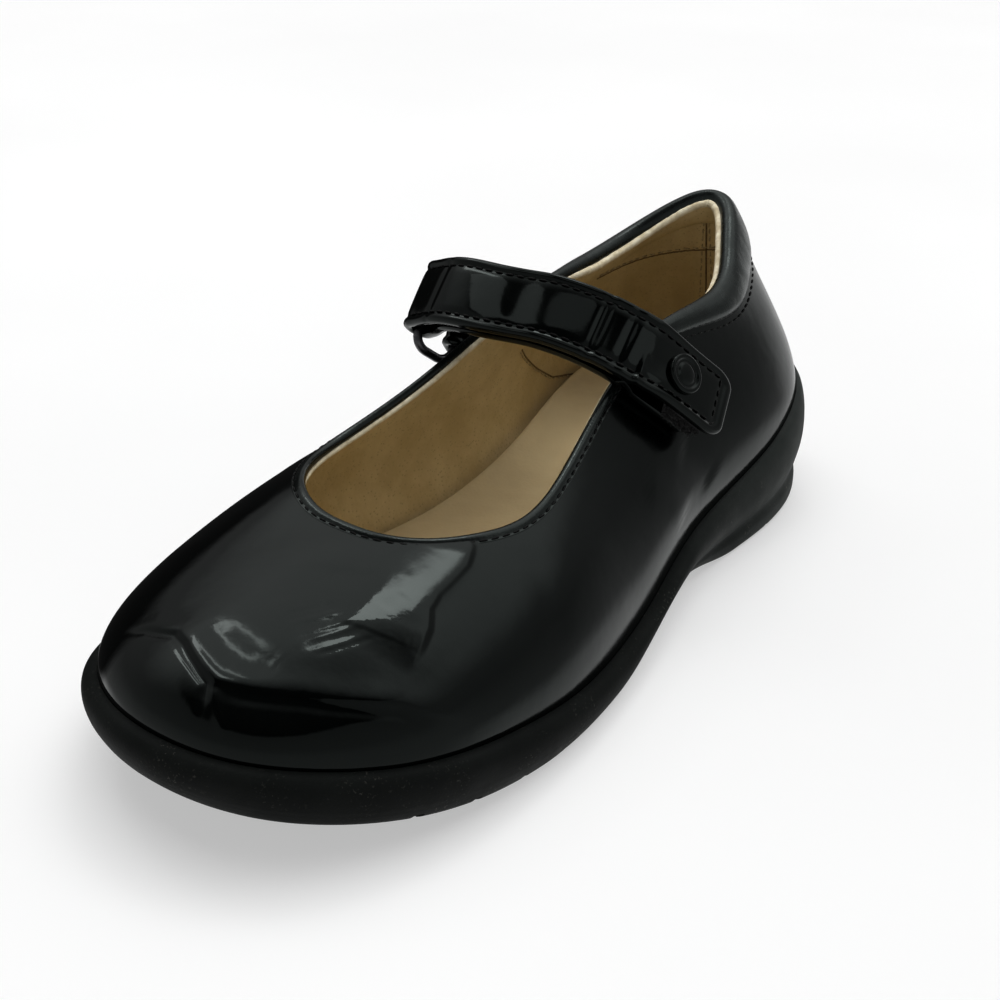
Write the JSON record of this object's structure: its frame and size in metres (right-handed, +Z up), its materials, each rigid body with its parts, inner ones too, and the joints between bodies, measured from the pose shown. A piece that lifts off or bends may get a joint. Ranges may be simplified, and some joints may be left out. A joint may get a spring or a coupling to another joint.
{
  "type": "mary jane shoe",
  "caption": "Child's patent mary jane shoe for the left foot, with a padded heel collar, a hook-and-loop strap turned through a wire ring and a moulded rubber sole.",
  "frame": {"origin": "centre of the shoe's bounding box in plan, on the floor the tread stands on", "axes": "+Y from toe to heel, +X to the outer side of the foot (the wearer's left), +Z up"},
  "size_m": [0.0878, 0.2048, 0.0686],
  "materials": {
    "patent": "high-gloss patent, clear coated",
    "satin": "soft satin",
    "rubber": "matte, fine moulded grain, dusty",
    "footbed": "matte tan leather",
    "nickel": "dark nickel plated wire",
    "pile": "short black hook-and-loop pile"
  },
  "bodies": {
    "root": {"outsole": "rubber", "insole": "footbed", "upper": "patent", "collar": "satin", "throat_binding": "satin", "strap": "patent", "strap_ring": "nickel", "ring_tab": "patent", "loop_pad": "pile", "hook_pad": "pile", "badge": "patent"}
  },
  "joints": []
}
